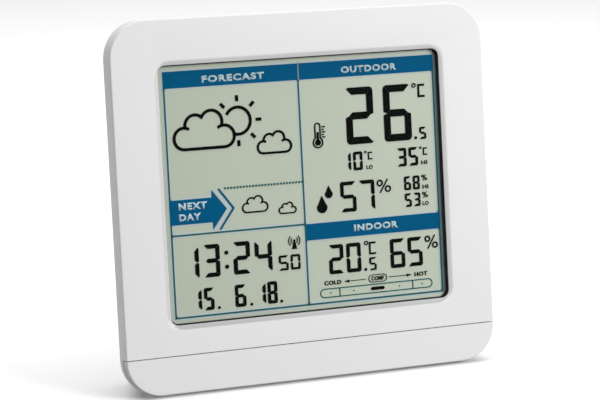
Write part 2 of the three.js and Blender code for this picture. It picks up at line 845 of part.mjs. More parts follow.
function standRecessRoom() {
  const top = legHingeHeight + legHeel + 2 * legGap;
  return joined(
    block([-recessHalf, recessHalf], [recessFloor, caseDepth + PAST], [-PAST, top]),
    block([-recessHalf, recessHalf], [heelFloor, caseDepth + PAST], [legHingeHeight - legHeel, top]),
    barAlongX(legPinRadius + pinRunningGap, -recessHalf - legPinLength, recessHalf + legPinLength,
      legHingeDepth, legHingeHeight),
  );
}

function rearShell() {
  const skin = rearShellSkin();
  const posts = caseScrews.map(({ x, z }) => barAlongY(screwHead + screwWellGap + bossWall,
    caseScrewHeadFront - caseScrewSeat, caseDepth - backRounding, x, z));
  const wells = caseScrews.map(({ x, z }) => joined(
    barAlongY(screwHead + screwWellGap, caseScrewHeadFront, caseDepth + PAST, x, z),
    barAlongY(screwShank + 2 * screwPilotGap, 0, caseDepth, x, z, SMALL_SIDES),
  ));
  const cradles = bothSides((side) => block(
    [side * cradleSpacing / 2 - cradleWidth / 2, side * cradleSpacing / 2 + cradleWidth / 2],
    [rodDepth, rearInner + INTO],
    [rodHeight - rodRadius - cradleDrop, caseHeight - topDrawnIn - cradleTopGap]));
  const rodRoom = barAlongX(rodRadius + stackGap, -rodLength, rodLength, rodDepth, rodHeight);
  const inside = slab(caseOutline(ribInsetSide, ribInsetTop, ribInsetBottom), rearFront, rearInner + INTO);
  const ribs = joined(...posts, ...cradles, batteryBay(), standRecessWalls()).intersect(inside);
  const keyHole = slab(keyOutline(keyGap), rearInner - PAST, caseDepth + PAST, SMALL_ARC_STEPS);
  const keyHoles = keyXs.map((x) => keyHole.translate([x, 0, keyRowHeight]));
  const vents = Array.from({ length: ventCount }, (_, i) => {
    const z = ventMiddle + (i - (ventCount - 1) / 2) * ventPitch;
    return block([ventX - ventLength / 2, ventX + ventLength / 2], [rearInner - PAST, caseDepth + PAST],
      [z - ventHeight / 2, z + ventHeight / 2]);
  });
  const soundHoles = Array.from({ length: soundHoleCount + 1 }, (_, i) => {
    const angle = 2 * Math.PI * i / soundHoleCount;
    const radius = i < soundHoleCount ? soundRingRadius : 0;
    return barAlongY(soundHoleRadius, rearInner - PAST, caseDepth + PAST,
      soundX + radius * Math.cos(angle), soundHeight + radius * Math.sin(angle), SMALL_SIDES);
  });
  return cut(joined(skin, ribs), ...wells, rodRoom, batteryBayRoom(), standRecessRoom(), keyhole(),
    ...keyHoles, ...vents, ...soundHoles, underTable());
}

// A key's cap outline about its own middle, grown by a margin.
function keyOutline(margin) {
  const x = keyWidth / 2 + margin;
  const z = keyHeight / 2 + margin;
  return roundedRectangle(-x, x, -z, z, z - keyEndFlat);
}

// A key along y with its cap's outer face at y = 0.
function key() {
  const flangeBack = -(keyProud + rearWall + keyGap);
  const stemEnd = onBoard + switchHeight + plungerHeight + keyTravel + stackGap - (caseDepth + keyProud);
  return joined(
    slab(keyOutline(0), flangeBack - keyFlangeThickness / 2, 0, SMALL_ARC_STEPS),
    slab(keyOutline(keyFlange), flangeBack - keyFlangeThickness, flangeBack, SMALL_ARC_STEPS),
    barAlongY(keyStemRadius, stemEnd, flangeBack - keyFlangeThickness / 2, 0, 0, SMALL_SIDES),
  );
}

// The stand leg folded flat, about its hinge line: its foot points to -z and its outer side to +y.
function standLeg() {
  const half = legThickness / 2;
  const long = legLength + 2 * half;
  const plate = joined(
    block([-legWidth / 2, legWidth / 2], [-half, half], [-long, legHeel]),
    barAlongX(legPinRadius, -legWidth / 2 - legSideGap - legPinLength + legPinEndGap,
      legWidth / 2 + legSideGap + legPinLength - legPinEndGap, 0, 0),
  );
  const relief = [half - legReliefDepth, half + PAST];
  const grip = barAlongY(legGripRadius, ...relief, 0, legGripRise - legLength, PIN_SIDES);
  const panelHalfWidth = legWidth / 2 - legPanelMargin;
  const panelCut = block([-panelHalfWidth, panelHalfWidth], relief,
    [legPanelRise - legLength, -legPanelMargin]);
  const table = new THREE.BoxGeometry(2 * legWidth, 4 * legLength, legLength);
  table.translate(0, 0, -legHingeAbove - legLength / 2).rotateX(lean - legSpread);
  return cut(plate, grip, panelCut, solid(table));
}

// ---------------------------------------------------------------- finishes

const finishes = {
  whitePlastic: { color: 0xe9e9ea, roughness: 0.42, metalness: 0 },
  rearPlastic: { color: 0xdcdcdc, roughness: 0.55, metalness: 0 },
  clearPane: { color: 0xf4f8f8, roughness: 0.08, metalness: 0, transparent: true, opacity: 0.3 },
  blackFoam: { color: 0x15161a, roughness: 0.85, metalness: 0 },
  displayGlass: { color: 0xb9c3ae, roughness: 0.3, metalness: 0 },
  lightGuide: { color: 0xe6ece8, roughness: 0.2, metalness: 0 },
  ledPackage: { color: 0xf2f0dc, roughness: 0.4, metalness: 0 },
  stripRubber: { color: 0x3b3c40, roughness: 0.8, metalness: 0 },
  circuitBoard: { color: 0x1d5b39, roughness: 0.5, metalness: 0 },
  blackPlastic: { color: 0x1b1c1e, roughness: 0.5, metalness: 0 },
  steel: { color: 0xb9bcc0, roughness: 0.3, metalness: 1 },
  ferrite: { color: 0x2e2d2c, roughness: 0.7, metalness: 0 },
  copper: { color: 0xb4683a, roughness: 0.35, metalness: 1 },
  cellJacket: { color: 0x4d5a63, roughness: 0.35, metalness: 0.4 },
  redInsulation: { color: 0xb2221c, roughness: 0.5, metalness: 0 },
  blackInsulation: { color: 0x202020, roughness: 0.5, metalness: 0 },
};

// A named sub-part with its own material, placed in its parent's frame.
function subpart(name, body, finish, position = [0, 0, 0], turn = [0, 0, 0]) {
  const material = new THREE.MeshStandardMaterial(finishes[finish]);
  const mesh = new THREE.Mesh(geometryOf(body), material);
  mesh.name = name;
  mesh.position.set(...position);
  mesh.rotation.set(...turn);
  return mesh;
}

// ---------------------------------------------------------------- assembly

const FACING_FRONT = [0, 0, Math.PI];

const front = new THREE.Group();
front.add(subpart('front_shell', frontShell(), 'whitePlastic'));
front.add(subpart('snooze_bar', snoozeBar(), 'whitePlastic'));
front.add(subpart('display_window', displayWindow(), 'clearPane'));
front.add(subpart('display_gasket', displayGasket(), 'blackFoam'));
front.add(subpart('lcd_panel', lcdPanel(), 'displayGlass'));
front.add(subpart('lcd_holder', lcdHolder(), 'whitePlastic'));
front.add(subpart('contact_strip_lower', contactStrip(lowerStripLow), 'stripRubber'));
front.add(subpart('contact_strip_upper', contactStrip(upperStripLow), 'stripRubber'));
front.add(subpart('backlight_guide', backlightGuide(), 'lightGuide'));
front.add(subpart('backlight_led_left', backlightLed(-1), 'ledPackage'));
front.add(subpart('backlight_led_right', backlightLed(1), 'ledPackage'));

const boards = new THREE.Group();
boards.add(subpart('main_board', mainBoard(), 'circuitBoard'));
boardScrews.forEach(({ x, z }, i) => {
  const body = screw(boardScrewShank, boardScrewLength - stackGap, boardScrewHead, screwHeadHeight * 0.7);
  boards.add(subpart(`board_screw_${i + 1}`, body, 'steel', [x, boardBack + stackGap, z]));
});
boards.add(subpart('bar_switch', tactSwitch(), 'blackPlastic',
  [0, boardFront - stackGap, barSwitchHeight], FACING_FRONT));
keyNames.forEach((name, i) => {
  boards.add(subpart(`${name}_switch`, tactSwitch(), 'blackPlastic', [keyXs[i], onBoard, keyRowHeight]));
});
boards.add(subpart('controller_chip', controllerChip(), 'blackPlastic', [chipPlace.x, onBoard, chipPlace.z]));
boards.add(subpart('quartz_crystal', quartzCrystal(), 'steel', [crystalPlace.x, onBoard, crystalPlace.z]));
boards.add(subpart('capacitor', capacitor(), 'blackPlastic',
  [capacitorPlace.x, onBoard, capacitorPlace.z]));
boards.add(subpart('radio_board', radioBoard(), 'circuitBoard', [radioBoardX, onBoard, bayMiddle]));
boards.add(subpart('buzzer', buzzer(), 'blackPlastic', [soundX, onBoard, soundHeight]));
boards.add(subpart('climate_sensor', climateSensor(), 'blackPlastic', [ventX, onBoard, ventMiddle]));
boards.add(subpart('ferrite_rod', ferriteRod(), 'ferrite', [0, rodDepth, rodHeight]));
boards.add(subpart('antenna_coil', antennaCoil(), 'copper', [0, rodDepth, rodHeight]));

const power = new THREE.Group();
const lowerCell = bayMiddle - cellPitch / 2;
const upperCell = bayMiddle + cellPitch / 2;
const plateX = bayHalfLength - cellGap;
const cellX = plateX - 2 * contactThickness - cellGap - cellNubHeight - cellLength / 2;
power.add(subpart('battery_1', cell(), 'cellJacket', [cellX, cellMiddle, lowerCell]));
power.add(subpart('battery_2', cell(), 'cellJacket', [-cellX, cellMiddle, upperCell], FACING_FRONT));
power.add(subpart('contact_bridge', contactBridge(), 'steel',
  [contactThickness - plateX, cellMiddle, bayMiddle]));
power.add(subpart('contact_positive', contactPositive(), 'steel',
  [plateX - contactThickness, cellMiddle, lowerCell], FACING_FRONT));
power.add(subpart('contact_negative', contactNegative(), 'steel',
  [plateX - contactThickness, cellMiddle, upperCell], FACING_FRONT));
power.add(subpart('battery_lead_positive', batteryLead(lowerCell, lowerCell - 5), 'redInsulation'));
power.add(subpart('battery_lead_negative', batteryLead(upperCell, upperCell - 5), 'blackInsulation'));

const rear = new THREE.Group();
rear.add(subpart('rear_shell', rearShell(), 'rearPlastic'));
rear.add(subpart('battery_door', batteryDoor(), 'rearPlastic'));
caseScrews.forEach(({ x, z }, i) => {
  const body = screw(screwShank, caseScrewLength, screwHead, screwHeadHeight);
  rear.add(subpart(`case_screw_${i + 1}`, body, 'steel', [x, caseScrewHeadFront + partingGap, z]));
});
keyNames.forEach((name, i) => {
  rear.add(subpart(name, key(), 'rearPlastic', [keyXs[i], caseDepth + keyProud, keyRowHeight]));
});
rear.add(subpart('stand_leg', standLeg(), 'rearPlastic',
  [0, legHingeDepth, legHingeHeight], [legSpread, 0, 0]));

const leaningCase = new THREE.Group();
leaningCase.rotation.x = -lean;
leaningCase.position.z = lift;
leaningCase.add(front, boards, power, rear);

const station = new THREE.Group();
station.add(leaningCase);

// The origin is on the table, under the middle of the whole station.
const extent = new THREE.Box3().setFromObject(station, true);
leaningCase.position.y = -(extent.min.y + extent.max.y) / 2;

export default station;
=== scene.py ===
"""A home weather station: the finishes, the display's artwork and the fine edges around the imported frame."""

import json
import math

import bmesh
import bpy
from mathutils import Matrix, Vector


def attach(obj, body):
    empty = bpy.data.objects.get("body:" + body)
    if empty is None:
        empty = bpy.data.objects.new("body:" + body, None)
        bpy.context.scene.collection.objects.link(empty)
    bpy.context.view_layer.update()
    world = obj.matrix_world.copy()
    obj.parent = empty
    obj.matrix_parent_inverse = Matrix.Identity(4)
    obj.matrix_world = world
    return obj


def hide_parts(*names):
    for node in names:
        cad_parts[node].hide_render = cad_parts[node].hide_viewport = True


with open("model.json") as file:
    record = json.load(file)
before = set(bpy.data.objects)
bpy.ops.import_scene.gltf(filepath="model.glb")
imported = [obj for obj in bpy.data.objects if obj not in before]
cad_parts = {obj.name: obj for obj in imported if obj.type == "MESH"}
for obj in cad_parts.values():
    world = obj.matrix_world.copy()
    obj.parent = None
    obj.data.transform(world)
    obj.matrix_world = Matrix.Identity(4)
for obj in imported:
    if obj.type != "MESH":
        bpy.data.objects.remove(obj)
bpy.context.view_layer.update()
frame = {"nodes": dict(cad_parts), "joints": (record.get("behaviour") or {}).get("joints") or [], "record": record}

MM = 0.001
JOINTS = {joint["name"]: joint for joint in frame["joints"]}
BODY_OF = {node: body for body, nodes in frame["record"]["behaviour"]["bodies"].items() for node in nodes}
SLOT_OF = {row["node"]: row["material_slot"] for row in frame["record"]["subparts"]}

# ---------------------------------------------------------------- the case frame
# x to the right, y from the face to the back, z up the face from its lower edge, in millimetres. The case
# leans back about x, as the keys' travel shows, and the stand's hinge line ties it to the frame.

KEY_TRAVEL = Vector(JOINTS["key_set_press"]["axis"])
LEAN = math.atan2(KEY_TRAVEL.z, -KEY_TRAVEL.y)
STAND_HINGE = Vector((0, 22.6, 50)) * MM
TURN = Matrix.Rotation(-LEAN, 4, "X")
PLACE = Matrix.Translation(Vector(JOINTS["stand_fold"]["pos_m"]) - TURN @ STAND_HINGE)
CASE = PLACE @ TURN @ Matrix.Scale(MM, 4)

WINDOW_WIDTH = 104.4
WINDOW_HEIGHT = 87.4
WINDOW_BOTTOM = 23
WINDOW_BEVEL = 1.8
WINDOW_CORNER = 2.8
RING_CORNER = WINDOW_CORNER + WINDOW_BEVEL
# The chamfer round the window gets painted shade: how it fades in from the face, and how dark it is on the chamfer
# and on its lower side.
RING_FADE = 0.7
RING_PAINTED_SHADE = 0.76
SILL_PAINTED_SHADE = 0.54
PANEL_FRONT = 2.6


# ---------------------------------------------------------------- camera, floor and light

VIEW_AZIMUTH = math.radians(23.91)
VIEW_ELEVATION = math.radians(11.45)
VIEW_DISTANCE = 0.9152
LENS = 161
AIM = CASE @ Vector((-3.2, 0, 61.7))


def make_camera():
    data = bpy.data.cameras.new("camera")
    data.lens = LENS
    data.clip_start = 0.05
    camera = bpy.data.objects.new("camera", data)
    ahead = Vector((
        math.sin(VIEW_AZIMUTH) * math.cos(VIEW_ELEVATION),
        math.cos(VIEW_AZIMUTH) * math.cos(VIEW_ELEVATION),
        -math.sin(VIEW_ELEVATION),
    ))
    camera.location = AIM - ahead * VIEW_DISTANCE
    camera.rotation_euler = ahead.to_track_quat("-Z", "Y").to_euler()
    bpy.context.scene.collection.objects.link(camera)
    bpy.context.scene.camera = camera


def softbox(name, place, size, power, target=(0, 0, 0.06)):
    data = bpy.data.lights.new(name, "AREA")
    data.shape = "RECTANGLE"
    data.size, data.size_y = size
    data.energy = power
    light = bpy.data.objects.new(name, data)
    light.location = place
    light.rotation_euler = (Vector(target) - Vector(place)).to_track_quat("-Z", "Y").to_euler()
    bpy.context.scene.collection.objects.link(light)


def make_studio():
    bm = bmesh.new()
    bmesh.ops.create_circle(bm, cap_ends=True, segments=64, radius=3)
    mesh = bpy.data.meshes.new("floor")
    bm.to_mesh(mesh)
    bm.free()
    floor = bpy.data.objects.new("floor", mesh)
    bpy.context.scene.collection.objects.link(floor)
    floor.visible_diffuse = False
    mesh.materials.append(floor_finish())
    world = bpy.data.worlds.new("studio")
    world.use_nodes = True
    background = world.node_tree.nodes["Background"]
    background.inputs["Color"].default_value = (1, 1, 1, 1)
    background.inputs["Strength"].default_value = 0.3
    bpy.context.scene.world = world
    softbox("key", (0.75, -0.95, 0.55), (0.7, 0.7), 13.5)
    softbox("above", (0.0, 0.3, 1.4), (2.2, 1.6), 26)
    bpy.context.scene.view_settings.view_transform = "Standard"


# ---------------------------------------------------------------- finishes

class Shade:
    """A number or a colour inside a finish. Arithmetic on it adds Math nodes."""

    def __init__(self, finish, socket):
        self.finish = finish
        self.socket = socket

    def maths(self, operation, *values):
        return self.finish.node("ShaderNodeMath", {"operation": operation}, *values)

    def __add__(self, other):
        return self.maths("ADD", self, other)

    __radd__ = __add__

    def __mul__(self, other):
        return self.maths("MULTIPLY", self, other)

    __rmul__ = __mul__

    def __sub__(self, other):
        return self.maths("SUBTRACT", self, other)

    def __rsub__(self, other):
        return self.maths("SUBTRACT", other, self)

    def __abs__(self):
        return self.maths("ABSOLUTE", self)

    def above(self, limit):
        return self.maths("GREATER_THAN", self, limit)


def socket_of(sockets, key):
    """The socket of a place in the row, an identifier or a name."""
    if isinstance(key, int):
        return sockets[key]
    found = [socket for socket in sockets if key in (socket.identifier, socket.name)]
    return found[0]


class Finish:
    """One material: a Principled shader and the nodes that vary it over the surface."""

    def __init__(self, name, colour, roughness, metallic=0.0, **fixed):
        self.material = bpy.data.materials.new(name)
        self.material.use_nodes = True
        self.tree = self.material.node_tree
        self.shader = self.tree.nodes["Principled BSDF"]
        self.put(self.shader.inputs["Base Color"], colour)
        self.put(self.shader.inputs["Roughness"], roughness)
        self.put(self.shader.inputs["Metallic"], metallic)
        for socket, value in fixed.items():
            self.put(self.shader.inputs[socket.replace("_", " ")], value)

    def put(self, socket, value):
        if isinstance(value, Shade):
            self.tree.links.new(value.socket, socket)
        elif isinstance(value, tuple) and len(value) == 3 and socket.type == "RGBA":
            socket.default_value = (*value, 1)
        else:
            socket.default_value = value

    def node(self, kind, settings, *values, output=0, **named):
        node = self.tree.nodes.new(kind)
        for key, value in settings.items():
            setattr(node, key, value)
        for socket, value in zip(node.inputs, values):
            self.put(socket, value)
        for key, value in named.items():
            self.put(socket_of(node.inputs, key), value)
        return Shade(self, socket_of(node.outputs, output))

    def place(self):
        return self.node("ShaderNodeTexCoord", {}, output="Object")

    def noise(self, scale, detail=3.0, place=None):
        return self.node("ShaderNodeTexNoise", {}, Vector=place or self.place(), Scale=scale, Detail=detail)

    def blend(self, first, second, factor):
        return self.node("ShaderNodeMix", {"data_type": "RGBA"}, Factor=factor, output="Result_Color",
                         A_Color=first, B_Color=second)

    def vary(self, socket, value):
        self.put(self.shader.inputs[socket], value)
        return self

    def bump(self, height, distance, strength=1.0):
        raised = self.node("ShaderNodeBump", {}, Height=height, Distance=distance, Strength=strength)
        return self.vary("Normal", raised)


def floor_finish():
    finish = Finish("floor_paper", (0.93, 0.93, 0.93), 0.9)
    finish.vary("Roughness", 0.85 + finish.noise(40) * 0.1)
    return finish.material


HOUSING_ROUGHNESS = 0.42
HOUSING_GRAIN = 0.000012
HOUSING_GRAIN_SCALE = 2600
HOUSING_SPECULAR = 0.45


def moulded(finish, colour, roughness, grain, grain_scale):
    """Gives a finish the look of moulded plastic: a fine grain, a slight mottle and an uneven sheen."""
    shaded = tuple(channel * 0.965 for channel in colour)
    mottled = finish.blend(colour, shaded, finish.noise(22, detail=4))
    finish.vary("Roughness", finish.noise(60, detail=5) * 0.14 + (roughness - 0.07))
    finish.bump(finish.noise(grain_scale, detail=2) + finish.noise(grain_scale / 4, detail=1) * 0.6, grain)
    return mottled


def moulded_plastic(name, colour, roughness=HOUSING_ROUGHNESS, grain=HOUSING_GRAIN,
                    grain_scale=HOUSING_GRAIN_SCALE):
    finish = Finish(name, colour, roughness, Specular_IOR_Level=HOUSING_SPECULAR)
    finish.vary("Base Color", moulded(finish, colour, roughness, grain, grain_scale))
    return finish.material


def face_plastic(name, colour):
    """The housing's plastic, with painted shade on the chamfer round the window, darker still on the chamfer's
    lower side.
    """
    finish = Finish(name, colour, HOUSING_ROUGHNESS, Specular_IOR_Level=HOUSING_SPECULAR)
    mottled = moulded(finish, colour, HOUSING_ROUGHNESS, HOUSING_GRAIN, HOUSING_GRAIN_SCALE)
    # Painted shade: a ring that darkens the chamfer round the window, worked out in the case frame.
    in_case_frame = finish.node(
        "ShaderNodeMapping", {"vector_type": "TEXTURE"}, finish.place(),
        Location=tuple(CASE.translation), Rotation=(-LEAN, 0.0, 0.0), Scale=(MM, MM, MM),
    )
    across = finish.node("ShaderNodeSeparateXYZ", {}, in_case_frame, output="X")
    up = finish.node("ShaderNodeSeparateXYZ", {}, in_case_frame, output="Z")
    aside = abs(across) - WINDOW_WIDTH / 2
    above = abs(up - (WINDOW_BOTTOM + WINDOW_HEIGHT / 2)) - WINDOW_HEIGHT / 2
    past_side = finish.node("ShaderNodeMath", {"operation": "MAXIMUM"}, aside + RING_CORNER, 0.0)
    past_end = finish.node("ShaderNodeMath", {"operation": "MAXIMUM"}, above + RING_CORNER, 0.0)
    reach = past_side * past_side + past_end * past_end
    within = WINDOW_BEVEL + RING_CORNER - reach.maths("SQRT", reach)
    ring = finish.node(
        "ShaderNodeMapRange", {"interpolation_type": "SMOOTHSTEP"}, within, 0.0, RING_FADE, 0.0, 1.0,
    )
    ring_painted_shade = tuple(channel * RING_PAINTED_SHADE for channel in colour)
    # Painted shade: the chamfer's lower side, under the window, is painted darker still.
    sill_painted_shade = tuple(channel * SILL_PAINTED_SHADE for channel in colour)
    under = (WINDOW_BOTTOM - up).above(0)
    finish.vary("Base Color", finish.blend(mottled, finish.blend(ring_painted_shade, sill_painted_shade, under), ring))
    return finish.material


def clear_pane():
    """Clear acrylic: it lets nearly all light through and keeps only its gloss."""
    finish = Finish("clear_pane", (0.0, 0.0, 0.0), 0.03, Alpha=0.06, Specular_IOR_Level=0.1)
    finish.vary("Roughness", 0.02 + finish.noise(90, detail=6) * 0.025)
    finish.bump(finish.noise(12, detail=1), 0.00002)
    return finish.material


def foam():
    finish = Finish("black_foam", (0.035, 0.035, 0.038), 0.85)
    finish.vary("Roughness", 0.75 + finish.noise(900) * 0.2)
    return finish.bump(finish.noise(2200, detail=4), 0.00008).material


# The display's tone at its left and at its right side; the lighter right side is painted light.
DISPLAY_LEFT = (0.60, 0.67, 0.54)
DISPLAY_RIGHT_PAINTED_LIGHT = (0.67, 0.74, 0.61)
DISPLAY_MOTTLE = (0.52, 0.58, 0.46)


def reflective_display():
    """The grey-green reflector of the display, with painted light that makes it a little paler and greener towards
    its right side, where the light falls stronger.
    """
    finish = Finish("reflective_display", (0.44, 0.5, 0.4), 0.5, Specular_IOR_Level=0.3)
    # Painted light: the colour runs from the left tone to a lighter one across the window.
    across = finish.node("ShaderNodeSeparateXYZ", {}, finish.place())
    share = across * (1 / (WINDOW_WIDTH * MM)) + 0.5
    base = finish.blend(DISPLAY_LEFT, DISPLAY_RIGHT_PAINTED_LIGHT, share)
    mottle = finish.noise(130, detail=4)
    finish.vary("Base Color", finish.blend(base, DISPLAY_MOTTLE, mottle * 0.22))
    finish.vary("Roughness", 0.42 + finish.noise(700) * 0.12)
    return finish.bump(finish.noise(5200, detail=2), 0.000006).material



# Printed ink on the display; the same finish also serves the painted shadow along the display's right margin.
def ink_or_painted_shadow(name, colour, roughness=0.5):
    finish = Finish(name, colour, roughness, Specular_IOR_Level=0.03)
    dark = tuple(channel * 0.86 for channel in colour)
    finish.vary("Base Color", finish.blend(colour, dark, finish.noise(420, detail=3)))
    finish.vary("Roughness", (roughness - 0.05) + finish.noise(1500) * 0.1)
    return finish.bump(finish.noise(6000), 0.000003).material


def circuit_board():
    finish = Finish("circuit_board", (0.02, 0.11, 0.045), 0.4, Coat_Weight=0.3)
    traces = finish.node("ShaderNodeTexVoronoi", {"feature": "DISTANCE_TO_EDGE"}, Vector=finish.place(),
                         Scale=260.0)
    copper = traces.above(0.06)
    finish.vary("Base Color", finish.blend((0.05, 0.2, 0.08), (0.02, 0.11, 0.045), copper))
    finish.vary("Roughness", 0.35 + finish.noise(800) * 0.15)
    return finish.bump(copper, 0.00003).material


def bare_metal(name, colour, roughness=0.28, brushed=1400):
    finish = Finish(name, colour, roughness, 1.0)
    streaks = finish.noise(brushed, detail=4)
    dark = tuple(channel * 0.8 for channel in colour)
    finish.vary("Base Color", finish.blend(colour, dark, streaks))
    finish.vary("Roughness", (roughness - 0.08) + finish.noise(500, detail=5) * 0.2)
    return finish.bump(streaks, 0.000008).material


def copper_winding():
    """Fine enamelled wire wound side by side along x."""
    finish = Finish("copper_winding", (0.6, 0.22, 0.08), 0.3, 1.0)
    wires = finish.node("ShaderNodeTexWave", {"bands_direction": "X"}, finish.place(), Scale=1400.0)
    finish.vary("Base Color", finish.blend((0.32, 0.1, 0.035), (0.62, 0.25, 0.1), wires))
    finish.vary("Roughness", 0.26 + finish.noise(700) * 0.12)
    return finish.bump(wires, 0.00006).material


def cell_jacket():
    """A foil jacket in two generic bands of colour, the brighter one towards the raised end."""
    finish = Finish("cell_jacket", (0.03, 0.05, 0.08), 0.32, 0.55, Coat_Weight=0.4)
    across = finish.node("ShaderNodeSeparateXYZ", {}, finish.place())
    band = across.above(0.009)
    scuff = finish.noise(260, detail=6)
    base = finish.blend((0.035, 0.055, 0.09), (0.62, 0.42, 0.16), band)
    finish.vary("Base Color", finish.blend(base, (0.5, 0.5, 0.5), scuff.above(0.68) * 0.35))
    finish.vary("Roughness", 0.24 + scuff * 0.22)
    return finish.bump(scuff, 0.00001).material


def make_finishes():
    """One finish for each of the record's material slots."""
    return {
        "white_housing": face_plastic("white_housing", (0.80, 0.80, 0.80)),
        "rear_housing": moulded_plastic("rear_housing", (0.74, 0.74, 0.75), 0.52, 0.00003, 1700),
        "display_pane": clear_pane(),
        "foam": foam(),
        "display_glass": reflective_display(),
        "light_guide": moulded_plastic("light_guide", (0.78, 0.82, 0.8), 0.22, 0.00002, 900),
        "led": moulded_plastic("led", (0.85, 0.82, 0.5), 0.4),
        "strip_rubber": moulded_plastic("strip_rubber", (0.05, 0.05, 0.055), 0.8, 0.00004, 1600),
        "circuit_board": circuit_board(),
        "black_component": moulded_plastic("black_component", (0.02, 0.02, 0.022), 0.5, 0.00003, 2000),
        "steel": bare_metal("steel", (0.62, 0.62, 0.63)),
        "ferrite": moulded_plastic("ferrite", (0.05, 0.048, 0.046), 0.7, 0.00006, 1500),
        "copper": copper_winding(),
        "cell_jacket": cell_jacket(),
        "red_insulation": moulded_plastic("red_insulation", (0.45, 0.02, 0.015), 0.5),
        "black_insulation": moulded_plastic("black_insulation", (0.02, 0.02, 0.02), 0.5),
        "blue_ink": ink_or_painted_shadow("blue_ink", (0.0, 0.126, 0.285)),
        "teal_ink": ink_or_painted_shadow("teal_ink", (0.03, 0.15, 0.155)),
        "white_ink": ink_or_painted_shadow("white_ink", (0.62, 0.80, 0.86)),
        "segment_ink": ink_or_painted_shadow("segment_ink", (0.002, 0.003, 0.0025), 0.4),
        # Painted shadow of the window's right lip on the display's right margin.
        "shade_ink": ink_or_painted_shadow("shade_ink", (0.32, 0.42, 0.42)),
        "pale_ink": ink_or_painted_shadow("pale_ink", (0.66, 0.76, 0.76)),
    }


# ---------------------------------------------------------------- pieces

def add_piece(name, bm, finish, body):
    """Links a finished mesh, already in the frame, as a piece that rides on a body."""
    mesh = bpy.data.meshes.new(name)
    bm.to_mesh(mesh)
    bm.free()
    mesh.materials.append(finish)
    piece = bpy.data.objects.new(name, mesh)
    bpy.context.scene.collection.objects.link(piece)
    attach(piece, body)
    return piece


def soften(bm, width, segments=2, sharp=math.radians(32)):
    """Rounds every edge of a merged shell that turns by more than the sharp angle."""
    edges = [edge for edge in bm.edges if len(edge.link_faces) == 2 and edge.calc_face_angle() > sharp]
    bmesh.ops.bevel(bm, geom=edges, offset=width * MM, segments=segments, profile=0.5, affect="EDGES",
                    clamp_overlap=True, material=-1)


def shade_smooth(piece, angle=math.radians(40)):
    for polygon in piece.data.polygons:
        polygon.use_smooth = True
    piece.data.set_sharp_from_angle(angle=angle)
    weighted = piece.modifiers.new("even_normals", "WEIGHTED_NORMAL")
    weighted.keep_sharp = True
    weighted.weight = 100


MERGE_WITHIN = 0.004 * MM
FLAT_WITHIN = math.radians(0.6)


def refined(node, width, finishes, segments=2):
    """Stands for a CAD node: the same shell, cleared of needless edges, with its sharp edges rounded."""
    bm = bmesh.new()
    bm.from_mesh(frame["nodes"][node].data)
    bmesh.ops.remove_doubles(bm, verts=bm.verts, dist=MERGE_WITHIN)
    bmesh.ops.dissolve_degenerate(bm, edges=bm.edges, dist=MERGE_WITHIN)
    bmesh.ops.dissolve_limit(bm, angle_limit=FLAT_WITHIN, verts=bm.verts, edges=bm.edges)
    if width:
        soften(bm, width, segments)
    slot = SLOT_OF[node]
    piece = add_piece(f"{node}_fine", bm, finishes[slot], BODY_OF[node])
    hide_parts(node)
    shade_smooth(piece)
    return piece


# ---------------------------------------------------------------- the display's artwork
# Places on the display: u to the right and v down from the artwork's upper left corner, in millimetres.

ARTWORK_LEFT = -49.92
ARTWORK_TOP = 108.16
ARTWORK_WIDTH = 100.83
ARTWORK_HEIGHT = 83.25
FILM = 0.02


def arc(centre, radius, first, last, steps=12):
    """Points along an arc, with angles in degrees clockwise from the right as v points down."""
    turns = [math.radians(first + (last - first) * i / steps) for i in range(steps + 1)]
    return [(centre[0] + radius * math.cos(turn), centre[1] + radius * math.sin(turn)) for turn in turns]


def circle(centre, radius, sides=28):
    return arc(centre, radius, 0, 360, sides)[:-1]


def rectangle(left, top, right, bottom):
    return [(left, top), (right, top), (right, bottom), (left, bottom)]


def capsule(left, top, right, bottom, steps=8):
    """A bar with round ends."""
    radius = (bottom - top) / 2
    middle = (top + bottom) / 2
    right_end = arc((right - radius, middle), radius, -90, 90, steps)
    left_end = arc((left + radius, middle), radius, 90, 270, steps)
    return right_end + left_end


